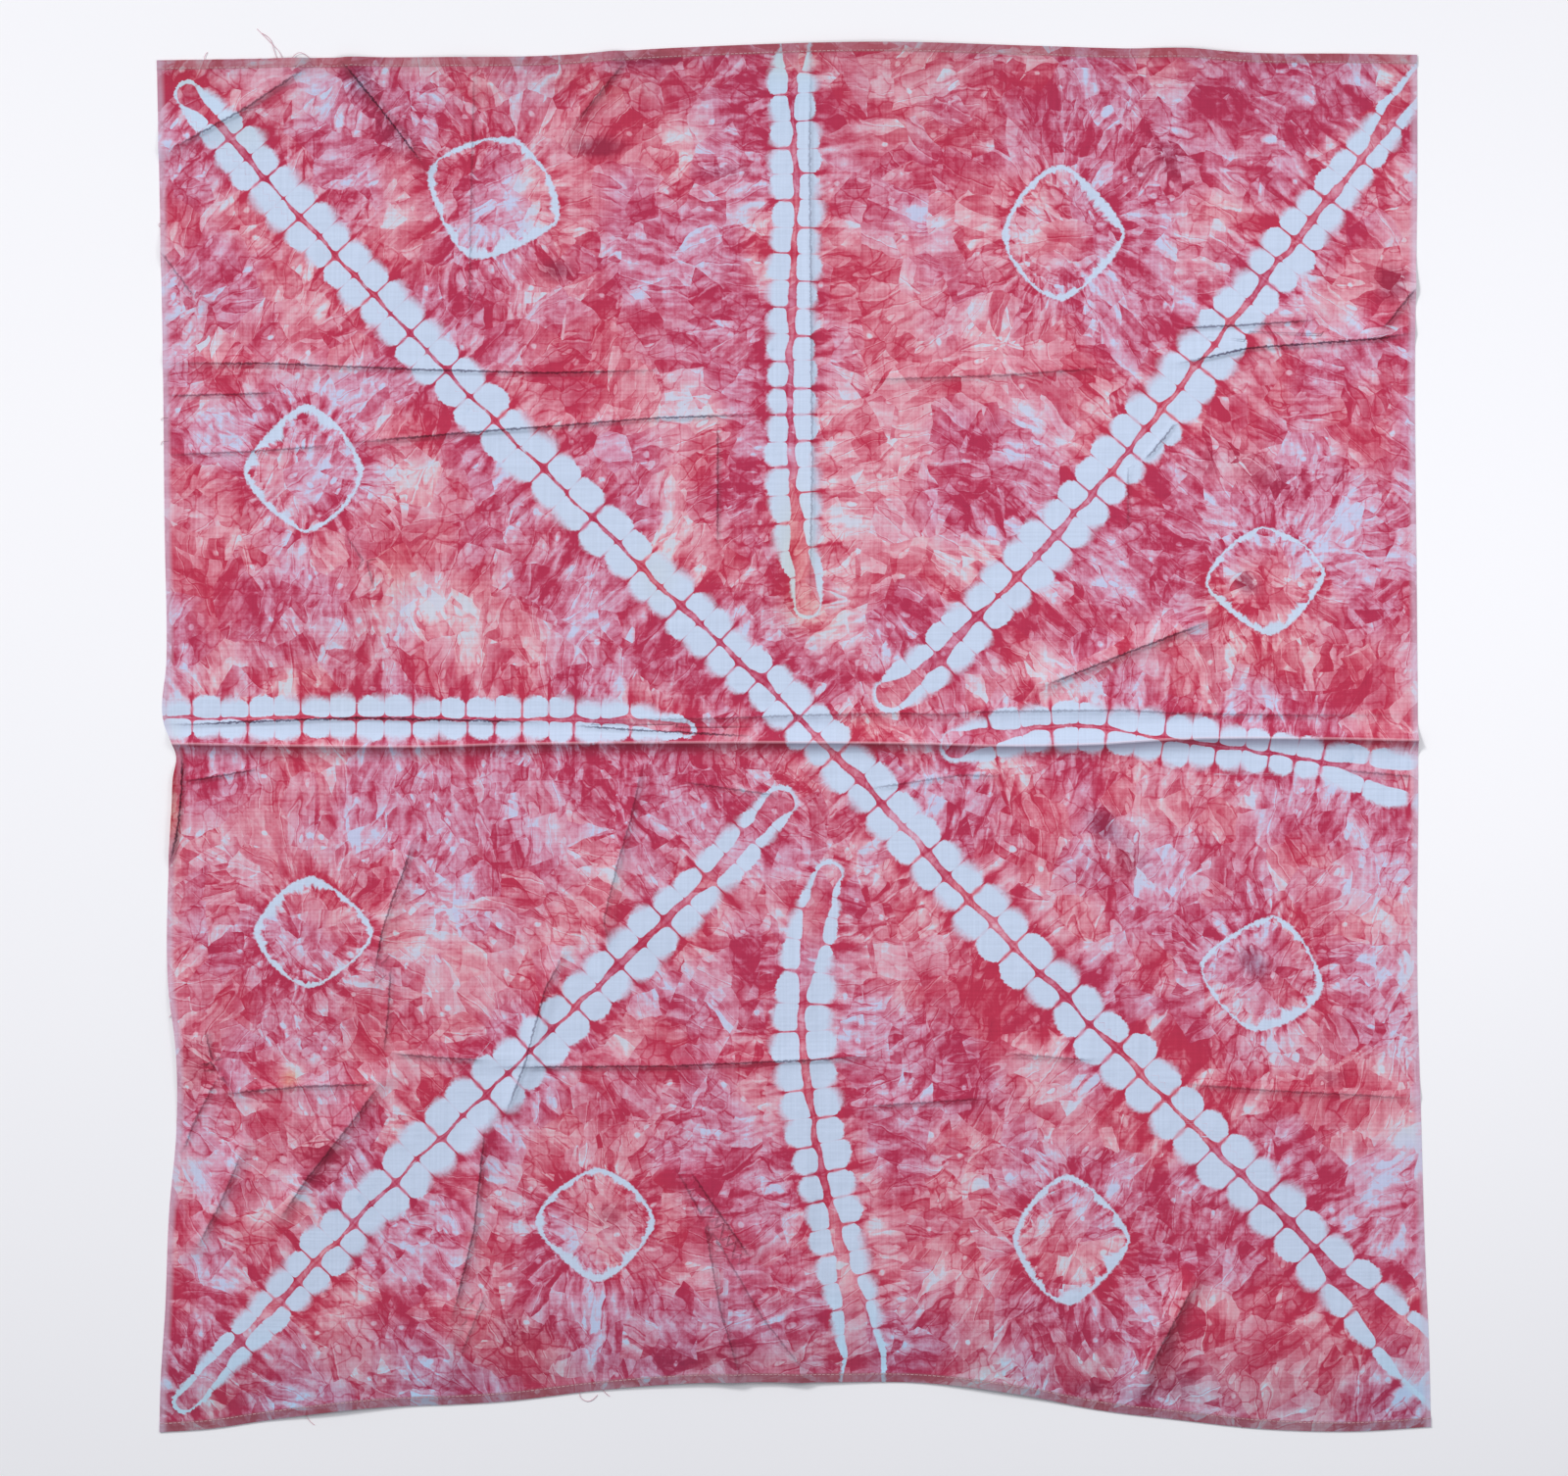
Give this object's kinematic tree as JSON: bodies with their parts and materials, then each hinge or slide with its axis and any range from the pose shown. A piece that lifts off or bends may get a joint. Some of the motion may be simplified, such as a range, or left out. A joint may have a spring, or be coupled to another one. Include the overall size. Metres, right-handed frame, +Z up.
{
  "type": "headscarf",
  "caption": "Square cotton headscarf laid out flat, stitched and tied resist dye in crimson and pink, pale beaded bands and rings, narrow hems, soft storage folds.",
  "frame": {"origin": "under the middle of the cloth's box, on the surface that the cloth rests on", "axes": "+X along the top hem from left to right as pictured, +Y from the bottom hem to the top hem, +Z up out of the cloth's face"},
  "size_m": [0.928, 1.012, 0.0084],
  "materials": {
    "dyed_cotton": "matte plain-woven cotton, dyed in crimson with undyed pale blue-white bands and rings"
  },
  "bodies": {
    "root": {"headscarf": "dyed_cotton"}
  },
  "joints": []
}
